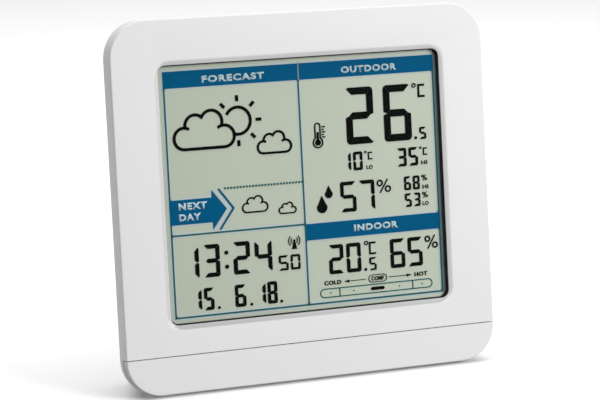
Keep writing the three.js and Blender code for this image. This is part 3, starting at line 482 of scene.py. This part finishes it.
class Film:
    """One colour of ink, or the painted shadow, on the display, a layer of flat shapes that a solidify gives its
    thickness.
    """

    def __init__(self, name, layer):
        self.name = name
        self.depth = PANEL_FRONT - layer * 2 * FILM
        self.bm = bmesh.new()

    def place(self, point):
        return CASE @ Vector((ARTWORK_LEFT + point[0], self.depth, ARTWORK_TOP - point[1]))

    def fill(self, outline):
        """A flat shape from its outline, given either way round."""
        twice_area = sum(a[0] * b[1] - b[0] * a[1] for a, b in zip(outline, outline[1:] + outline[:1]))
        ordered = outline if twice_area < 0 else outline[::-1]
        face = self.bm.faces.new([self.bm.verts.new(self.place(point)) for point in ordered])
        face.normal_update()

    def stroke(self, path, width, closed=False):
        """A line of even width along a path, mitred at its corners, as one strip of quads."""
        points = [Vector(point) for point in path]
        count = len(points)
        pairs = []
        for i, point in enumerate(points):
            before = points[i - 1] if i > 0 or closed else None
            after = points[(i + 1) % count] if i < count - 1 or closed else None
            into = (point - before).normalized() if before is not None else (after - point).normalized()
            out = (after - point).normalized() if after is not None else into
            side = Vector((-into.y - out.y, into.x + out.x)).normalized()
            reach = width / 2 / max(0.5, side.dot(Vector((-into.y, into.x))))
            pairs.append([self.bm.verts.new(self.place(point + side * (sign * reach))) for sign in (-1, 1)])
        for i in range(count if closed else count - 1):
            left, right = pairs[i]
            next_left, next_right = pairs[(i + 1) % count]
            face = self.bm.faces.new((left, right, next_right, next_left))
            face.normal_update()

    def letters(self, text, box, spacing=1.0, weight=0.0):
        """Plain sans lettering, stretched to fill a box of left, top, right and bottom."""
        curve = bpy.data.curves.new("lettering", "FONT")
        curve.body = text
        curve.space_character = spacing
        curve.offset = weight
        curve.resolution_u = 4
        holder = bpy.data.objects.new("lettering", curve)
        bpy.context.scene.collection.objects.link(holder)
        bpy.context.view_layer.update()
        mesh = bpy.data.meshes.new_from_object(holder.evaluated_get(bpy.context.evaluated_depsgraph_get()))
        bpy.data.objects.remove(holder)
        first = len(self.bm.verts)
        self.bm.from_mesh(mesh)
        bpy.data.meshes.remove(mesh)
        self.bm.verts.ensure_lookup_table()
        made = self.bm.verts[first:]
        low = Vector((min(vert.co.x for vert in made), min(vert.co.y for vert in made)))
        high = Vector((max(vert.co.x for vert in made), max(vert.co.y for vert in made)))
        left, top, right, bottom = box
        for vert in made:
            u = left + (vert.co.x - low.x) / (high.x - low.x) * (right - left)
            v = bottom - (vert.co.y - low.y) / (high.y - low.y) * (bottom - top)
            vert.co = self.place((u, v))

    def finish(self, finishes):
        """Merges the shapes, faces them to the front and gives them the thickness of a film."""
        bmesh.ops.remove_doubles(self.bm, verts=self.bm.verts, dist=0.0005 * MM)
        toward_front = CASE.to_3x3() @ Vector((0, -1, 0))
        turned = [face for face in self.bm.faces if face.normal.dot(toward_front) < 0]
        bmesh.ops.reverse_faces(self.bm, faces=turned)
        piece = add_piece(f"display_{self.name}", self.bm, finishes[self.name], "case")
        thick = piece.modifiers.new("thickness", "SOLIDIFY")
        thick.thickness = FILM * MM
        thick.offset = -1
        return piece


# Which of a digit's seven bars are on: top, upper right, lower right, bottom, lower left, upper left, middle.
DIGIT_BARS = {
    "0": "abcdef", "1": "bc", "2": "abged", "3": "abgcd", "4": "fgbc", "5": "afgcd", "6": "afgedc",
    "7": "abc", "8": "abcdefg",
}
BAR_GAP = 0.05
BAR_SPREAD = 1.17
CORNER_SHARE = 0.5
NOTCH_SHARE = 0.45


def bar_outlines(width, height, stroke):
    """The seven bars of one digit, from its upper left corner, with hairlines between them."""
    middle = height / 2
    half = stroke / 2
    gap = min(BAR_GAP, stroke * 0.08)
    corner = stroke * CORNER_SHARE
    on_mitre = corner * (1 - math.sqrt(0.5))
    top = [
        (corner, 0), (width - corner, 0), (width - on_mitre - gap, on_mitre), (width - stroke - gap, stroke),
        (stroke + gap, stroke), (on_mitre + gap, on_mitre),
    ]
    upper = [
        (0, corner), (on_mitre, on_mitre + gap), (stroke, stroke + gap), (stroke, middle - half - gap),
        (half, middle - gap), (0, middle - half * NOTCH_SHARE),
    ]
    across = [
        (half + gap, middle), (stroke + gap, middle - half), (width - stroke - gap, middle - half),
        (width - half - gap, middle), (width - stroke - gap, middle + half), (stroke + gap, middle + half),
    ]

    def mirrored(outline, sideways, upright):
        return [(width - u if sideways else u, height - v if upright else v) for u, v in outline]

    return {
        "a": top, "b": mirrored(upper, True, False), "c": mirrored(upper, True, True),
        "d": mirrored(top, False, True), "e": mirrored(upper, False, True), "f": upper, "g": across,
    }


def digit(film, character, box, stroke):
    """One seven-bar digit in a box of left, top, right and bottom. A one stands on the box's right side."""
    left, top, right, bottom = box
    bars = bar_outlines(right - left, bottom - top, stroke * BAR_SPREAD)
    for bar in DIGIT_BARS[character]:
        film.fill([(left + u, top + v) for u, v in bars[bar]])


def number(film, characters, box, stroke, gap):
    """Digits of even width and gap that fill a box of left, top, right and bottom."""
    left, top, right, bottom = box
    pitch = (right - left + gap) / len(characters)
    for i, character in enumerate(characters):
        start = left + i * pitch
        digit(film, character, (start, top, start + pitch - gap, bottom), stroke)


# The small signs: a percent ring's radius as a share of the sign's width, its stroke and its inset
PERCENT_RING = 0.19
PERCENT_WEIGHT = 1.15
PERCENT_INSET = 1.1
DEGREE_WEIGHT = 0.6
SIGN_SIDES = 16


def percent(film, box, stroke):
    left, top, right, bottom = box
    radius = (right - left) * PERCENT_RING
    ring_stroke = stroke * PERCENT_WEIGHT
    inset = radius * PERCENT_INSET
    film.stroke(circle((left + radius, top + inset), radius, SIGN_SIDES), ring_stroke, closed=True)
    film.stroke(circle((right - radius, bottom - inset), radius, SIGN_SIDES), ring_stroke, closed=True)
    film.stroke([(right - radius, top - stroke / 2), (left + radius, bottom + stroke / 2)], stroke)


def degrees(film, ring, radius, box, stroke):
    """A small ring and a C in the style of the digits."""
    left, top, right, bottom = box
    half = stroke / 2
    film.stroke(circle(ring, radius, SIGN_SIDES), stroke * DEGREE_WEIGHT, closed=True)
    film.stroke([(right, top + half), (left + half, top + half), (left + half, bottom - half),
                 (right, bottom - half)], stroke)


def point(film, centre, radius):
    film.fill(circle(centre, radius, 14))


def meeting(first, second):
    """The upper point where two lobes, each a centre and a radius, cross."""
    (u1, v1, r1), (u2, v2, r2) = first, second
    reach = math.hypot(u2 - u1, v2 - v1)
    along = (r1 * r1 - r2 * r2 + reach * reach) / (2 * reach)
    aside = math.sqrt(r1 * r1 - along * along)
    ahead = ((u2 - u1) / reach, (v2 - v1) / reach)
    return u1 + ahead[0] * along + ahead[1] * aside, v1 + ahead[1] * along - ahead[0] * aside


# A cloud's lobes from left to right: centre and radius, as shares of its width, from its lower left corner.
CLOUD_LOBES = ((0.166, -0.166, 0.166), (0.355, -0.355, 0.168), (0.625, -0.40, 0.178), (0.83, -0.168, 0.168))
CLOUD_TICK = 24
CLOUD_OVERLAP = 8


def cloud(film, corner, width, stroke):
    """A cloud in outline: four lobes on a flat base, where each lobe at the side runs a little way inside."""
    lobes = [(corner[0] + u * width, corner[1] + v * width, r * width) for u, v, r in CLOUD_LOBES]
    joints = [meeting(first, second) for first, second in zip(lobes, lobes[1:])]

    def angle(lobe, place):
        return math.degrees(math.atan2(place[1] - lobe[1], place[0] - lobe[0])) % 360

    left, upper_left, upper_right, right = lobes
    far_side = angle(upper_right, joints[2])
    if far_side < 180:
        far_side += 360
    start = angle(right, joints[2])
    outline = arc(left[:2], left[2], 90, angle(left, joints[0]), 14)
    first = angle(upper_left, joints[0])
    last = angle(upper_left, joints[1])
    outline += arc(upper_left[:2], upper_left[2], first, last, 12)[1:]
    outline += arc(upper_right[:2], upper_right[2], angle(upper_right, joints[1]), far_side, 14)[1:]
    outline += arc(right[:2], right[2], start, 450, 14)[1:]
    film.stroke(outline, stroke, closed=True)
    inward = angle(left, joints[0])
    film.stroke(arc(left[:2], left[2], inward - CLOUD_OVERLAP, inward + CLOUD_TICK, 4), stroke)
    film.stroke(arc(right[:2], right[2], start + CLOUD_OVERLAP, start - CLOUD_TICK, 4), stroke)


# Where a ray starts and ends, in radii of the sun, and how much bolder it is than the ring
RAY_ENDS = (1.43, 1.88)
RAY_WEIGHT = 1.05


def sun(film, centre, radius, stroke, ring, rays):
    """A ring, open where the cloud covers it, with short rays at eighths of a turn."""
    film.stroke(arc(centre, radius, ring[0], ring[1], 32), stroke)
    for eighth in rays:
        turn = math.radians(45 * eighth)
        ray = [(centre[0] + math.cos(turn) * radius * share, centre[1] + math.sin(turn) * radius * share)
               for share in RAY_ENDS]
        film.stroke(ray, stroke * RAY_WEIGHT)


# The drop's side: its widest half as a share of the belly's radius, how its curve opens, how far it falls,
# and where it has points.
DROP_SPREAD = 0.95
DROP_CURVE = 0.9
DROP_FALL = 0.958
DROP_SHARES = (0.12, 0.3, 0.5, 0.72)


def drop(film, tip, radius, height):
    """A drop: a round belly and two sides that curve up to the tip."""
    middle = (tip[0], tip[1] + height - radius)
    belly = arc(middle, radius, -18, 198, 16)
    fall = (height - radius) * DROP_FALL
    spread = radius * DROP_SPREAD
    right = [(tip[0] + spread * share ** DROP_CURVE, tip[1] + fall * share) for share in DROP_SHARES]
    left = [(2 * tip[0] - u, v) for u, v in right[::-1]]
    film.fill([tip] + right + belly + left)


# The thermometer: how much of its bulb and tube is full, and its scale in tube widths and shares of height
BULB_FULL = 0.62
COLUMN_SHARE = 0.42
COLUMN_TOP = 0.36
TICK_COUNT = 5
TICK_START = 1.65
TICK_LONG = 1.35
TICK_SHORT = 0.8
TICK_TOP = 0.16
TICK_PITCH = 0.105


def thermometer(film, top, bottom, middle, bulb, tube, stroke):
    """A tube and bulb in outline, filled part way up, with a scale beside it."""
    bulb_centre = (middle, bottom - bulb)
    meet = math.degrees(math.asin(tube / bulb))
    outline = arc(bulb_centre, bulb, -90 + meet, 270 - meet, 24)
    outline += arc((middle, top + tube), tube, 180, 360, 8)
    film.stroke(outline, stroke, closed=True)
    film.fill(circle(bulb_centre, bulb * BULB_FULL, 18))
    column = tube * COLUMN_SHARE
    column_top = top + (bottom - top) * COLUMN_TOP
    film.fill(rectangle(middle - column, column_top, middle + column, bottom - bulb))
    start = middle + tube * TICK_START
    for i in range(TICK_COUNT):
        reach = tube * (TICK_LONG if i % 2 == 0 else TICK_SHORT)
        height = top + (bottom - top) * (TICK_TOP + TICK_PITCH * i)
        film.stroke([(start, height), (start + reach, height)], stroke)


# The radio mast: half its width at the tip and the foot, its ball, and its waves' radii and half angle
MAST_TIP = 0.25
MAST_FOOT = 0.95
MAST_BALL = 0.45
WAVE_RADII = (1.2, 2.1)
WAVE_TURN = 48


def radio_mast(film, tip, height, stroke):
    """A mast with two waves to either side of its tip."""
    across, top = tip
    foot = top + height
    film.fill([(across - MAST_TIP, top), (across + MAST_TIP, top), (across + MAST_FOOT, foot),
               (across - MAST_FOOT, foot)])
    point(film, tip, MAST_BALL)
    for radius in WAVE_RADII:
        for side in (0, 180):
            film.stroke(arc(tip, radius, side - WAVE_TURN, side + WAVE_TURN, 8), stroke)


# The artwork's own divisions
DIVIDER = 49.3
BAND_HEIGHT = 5.65
INDOOR_TOP = 55.2
LINE_WIDTH = 0.6
GLOW = 0.5
LETTER_HEIGHT = 2.4
LETTER_WEIGHT = 0.05
DOT_PITCH = 1.14
DOT_COUNT = 26
DOT_SIZE = 0.72
DOTS_LEFT = 20.1
DOTS_TOP = 40.15
MARGIN = 1.5


def bands_and_lines(films):
    """The blue bands with their captions, the teal frame lines and the pale glow beside them all."""
    blue, teal, pale, white = films["blue_ink"], films["teal_ink"], films["pale_ink"], films["white_ink"]
    middle = LINE_WIDTH / 2
    right, bottom = ARTWORK_WIDTH, ARTWORK_HEIGHT
    bands = ((0, DIVIDER, 0), (DIVIDER + 0.5, right, 0), (DIVIDER + 0.3, right, INDOOR_TOP))
    for left, band_right, top in bands:
        blue.fill(rectangle(left, top, band_right, top + BAND_HEIGHT))
        pale.fill(rectangle(left - GLOW, top - GLOW, band_right + GLOW, top + BAND_HEIGHT + GLOW))
    lines = [
        [(middle, BAND_HEIGHT), (middle, bottom)],
        [(right - middle, BAND_HEIGHT), (right - middle, bottom)],
        [(DIVIDER, BAND_HEIGHT), (DIVIDER, bottom)],
        [(0, bottom - middle), (right, bottom - middle)],
        [(0, INDOOR_TOP), (DIVIDER, INDOOR_TOP)],
    ]
    for line in lines:
        teal.stroke(line, LINE_WIDTH)
        pale.stroke(line, LINE_WIDTH + 2 * GLOW)
    captions = (
        ("FORECAST", 13.9, 36.8, 2.05),
        ("OUTDOOR", 65.4, 86.6, 2.05),
        ("INDOOR", 67.5, 84.4, INDOOR_TOP + 1.6),
    )
    for caption, left, caption_right, top in captions:
        white.letters(caption, (left, top, caption_right, top + LETTER_HEIGHT), 1.15, LETTER_WEIGHT)
    for i in range(DOT_COUNT):
        start = DOTS_LEFT + i * DOT_PITCH
        teal.fill(rectangle(start, DOTS_TOP, start + DOT_SIZE, DOTS_TOP + DOT_SIZE))
    # Painted shadow: a dark strip along the display's right margin, where the window's right lip shades it.
    films["shade_ink"].fill(rectangle(right, -MARGIN, right + MARGIN, bottom + MARGIN / 2))


def forecast(films):
    """The forecast in clouds and sun, with the next day's on its arrow's right."""
    black, blue, pale, white = films["segment_ink"], films["blue_ink"], films["pale_ink"], films["white_ink"]
    cloud(black, (3.05, 26.45), 21.9, 1.05)
    sun(black, (26.4, 18.0), 4.6, 1.05, (-151, 114), (6, 7, 0, 1, 2, 5))
    cloud(black, (33.2, 29.75), 12.4, 0.8)
    cloud(black, (26.5, 49.35), 9.3, 0.55)
    cloud(black, (39.9, 50.75), 6.3, 0.5)
    shaft = (43.2, 51.6)
    middle = sum(shaft) / 2
    neck, tip, barb = 15.4, 20.7, 6.8
    arrow = [
        (0, shaft[0]), (neck, shaft[0]), (neck, middle - barb), (tip, middle),
        (neck, middle + barb), (neck, shaft[1]), (0, shaft[1]),
    ]
    blue.fill(arrow)
    pale.stroke([(16.6, middle - barb), (21.5, middle), (16.6, middle + barb)], 1.2)
    pale.stroke([(0, shaft[0] - 0.2), (15.1, shaft[0] - 0.2), (15.1, middle - barb)], 0.8)
    pale.stroke([(0, shaft[1] + 0.2), (15.1, shaft[1] + 0.2), (15.1, middle + barb)], 0.8)
    blue.stroke([(18.0, middle - 6.9), (23.2, middle), (18.0, middle + 6.9)], 0.7)
    for word, right, top in (("NEXT", 13.5, 44.3), ("DAY", 11.2, 48.0)):
        white.letters(word, (3.2, top, right, top + LETTER_HEIGHT), 1.15, LETTER_WEIGHT)


def outdoor(films):
    """Temperature and humidity outside, each with its highest and lowest."""
    black = films["segment_ink"]
    number(black, "26", (66.6, 9.55, 91.5, 29.15), 2.15, 3.9)
    degrees(black, (93.0, 10.3), 0.62, (94.4, 9.9, 97.1, 14.55), 0.75)
    point(black, (92.9, 28.55), 0.56)
    digit(black, "5", (94.4, 24.9, 97.0, 29.15), 0.65)
    thermometer(black, 20.9, 29.3, 55.65, 1.75, 0.95, 0.5)
    digit(black, "1", (65.3, 31.7, 67.7, 38.15), 0.85)
    digit(black, "0", (68.6, 31.7, 72.1, 38.15), 0.85)
    degrees(black, (73.3, 32.1), 0.33, (74.2, 32.1, 75.9, 34.8), 0.5)
    number(black, "35", (85.4, 31.7, 93.4, 38.15), 0.85, 0.85)
    degrees(black, (94.5, 32.1), 0.33, (95.4, 32.1, 97.0, 34.8), 0.5)
    number(black, "57", (63.1, 41.75, 76.1, 52.25), 1.1, 1.2)
    percent(black, (77.3, 42.2, 82.2, 46.4), 0.5)
    drop(black, (56.0, 45.9), 1.95, 6.0)
    drop(black, (58.7, 42.55), 1.45, 4.4)
    number(black, "68", (87.6, 41.7, 93.6, 46.55), 0.7, 0.75)
    number(black, "53", (87.6, 47.65, 93.6, 52.4), 0.7, 0.75)
    percent(black, (94.5, 41.7, 96.4, 43.5), 0.3)
    percent(black, (94.5, 47.7, 96.4, 49.5), 0.3)
    for word, left, top in (("LO", 73.5, 36.7), ("HI", 94.6, 36.6), ("HI", 94.6, 45.1), ("LO", 94.4, 50.9)):
        black.letters(word, (left, top, left + 2.3, top + 1.4), 1.1, 0.03)


def clock(films):
    """The time and the date, with the mast that says the clock is set by radio."""
    black = films["segment_ink"]
    digit(black, "1", (5.0, 59.4, 9.6, 70.1), 1.25)
    digit(black, "3", (11.4, 59.0, 17.2, 70.1), 1.25)
    digit(black, "2", (22.2, 59.0, 28.3, 70.1), 1.25)
    digit(black, "4", (30.1, 59.4, 36.4, 70.1), 1.25)
    for height in (62.3, 67.1):
        point(black, (19.7, height), 0.72)
    number(black, "50", (38.8, 65.1, 46.8, 70.3), 0.68, 0.9)
    radio_mast(black, (44.9, 60.4), 2.9, 0.36)
    digit(black, "1", (6.6, 73.9, 9.9, 81.0), 1.0)
    digit(black, "5", (10.8, 73.6, 14.4, 81.2), 1.0)
    digit(black, "6", (22.1, 73.6, 26.1, 81.2), 1.0)
    digit(black, "1", (30.1, 73.9, 33.4, 81.0), 1.0)
    digit(black, "8", (34.1, 73.6, 37.7, 81.2), 1.0)
    for across in (16.1, 28.0, 39.1):
        point(black, (across, 80.7), 0.52)


def indoor(films):
    """Temperature and humidity in the room, and the comfort scale under them."""
    black, teal = films["segment_ink"], films["teal_ink"]
    number(black, "20", (57.6, 63.1, 69.7, 73.25), 1.12, 1.2)
    number(black, "65", (81.0, 63.1, 93.4, 73.25), 1.12, 1.2)
    degrees(black, (71.9, 63.6), 0.6, (72.9, 63.3, 75.5, 67.7), 0.66)
    point(black, (71.3, 72.75), 0.55)
    digit(black, "5", (72.8, 68.7, 75.5, 73.25), 0.6)
    percent(black, (94.7, 63.2, 99.3, 67.4), 0.5)
    middle = 76.15
    for word, left, right in (("COLD", 55.4, 61.8), ("COMF", 73.3, 78.1), ("HOT", 89.9, 94.9)):
        black.letters(word, (left, middle - 0.75, right, middle + 0.75), 1.12, 0.04)
    black.stroke(capsule(72.2, middle - 1.25, 79.2, middle + 1.25, 4), 0.28, closed=True)
    for tip, tail in ((62.8, 71.2), (88.9, 80.0)):
        back = tip + math.copysign(2.0, tail - tip)
        black.fill([(tip, middle), (back, middle - 0.55), (back, middle + 0.55)])
        black.stroke([(back, middle), (tail, middle)], 0.26)
    top, bottom = 78.2, 81.1
    teal.stroke(capsule(53.8, top, 96.6, bottom), 0.4, closed=True)
    for across in (61.1, 89.1):
        teal.stroke([(across, top), (across, bottom)], 0.4)
    for across in (57.6, 66.4, 83.9, 92.7):
        point(teal, (across, (top + bottom) / 2), 0.28)
    black.fill(capsule(72.9, 79.05, 78.2, 80.2))


def make_display(finishes):
    """The artwork and a painted shadow, in films from the pale glow at the back to the white captions at the
    front.
    """
    names = ("pale_ink", "shade_ink", "teal_ink", "blue_ink", "segment_ink", "white_ink")
    films = {name: Film(name, layer + 1) for layer, name in enumerate(names)}
    for draw in (bands_and_lines, forecast, outdoor, clock, indoor):
        draw(films)
    for film in films.values():
        film.finish(finishes)


# ---------------------------------------------------------------- the object

FINE_EDGES = {
    "front_shell": 0.28, "snooze_bar": 0.28, "rear_shell": 0.3, "battery_door": 0.2, "stand_leg": 0.3,
    "key_set": 0.25, "key_up": 0.25, "key_down": 0.25,
    "key_alarm": 0.25, "key_channel": 0.25, "key_memory": 0.25,
}


def make_object():
    finishes = make_finishes()
    for node, obj in frame["nodes"].items():
        obj.data.materials.clear()
        obj.data.materials.append(finishes[SLOT_OF[node]])
    for node, width in FINE_EDGES.items():
        refined(node, width, finishes)
    make_display(finishes)


make_camera()
make_studio()
make_object()
